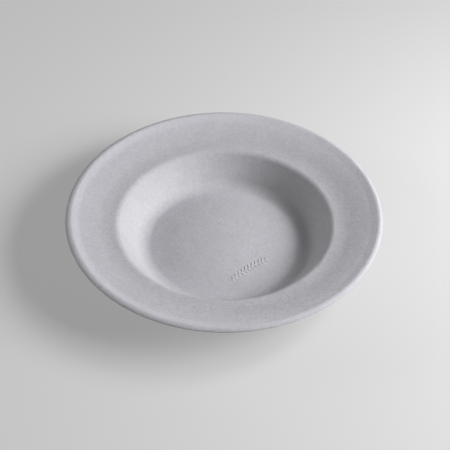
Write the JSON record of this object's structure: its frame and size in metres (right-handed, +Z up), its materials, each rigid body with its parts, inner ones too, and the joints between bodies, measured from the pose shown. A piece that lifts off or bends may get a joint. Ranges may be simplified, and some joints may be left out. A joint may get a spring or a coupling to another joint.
{
  "type": "rimmed soup plate",
  "caption": "Round rimmed soup plate of pressed plant fibre, with a deep sloping well, a gently domed floor and a turned-down edge.",
  "frame": {"origin": "middle of the foot, in the plane that the plate stands on", "axes": "+Z up along the plate's axis, from the foot to the rim; the plate is round, so +X and +Y may point anywhere"},
  "size_m": [0.24, 0.24, 0.0365],
  "materials": {
    "pulp": "matte pressed plant fibre, pale grey-white"
  },
  "bodies": {
    "root": {"plate": "pulp"}
  },
  "joints": []
}
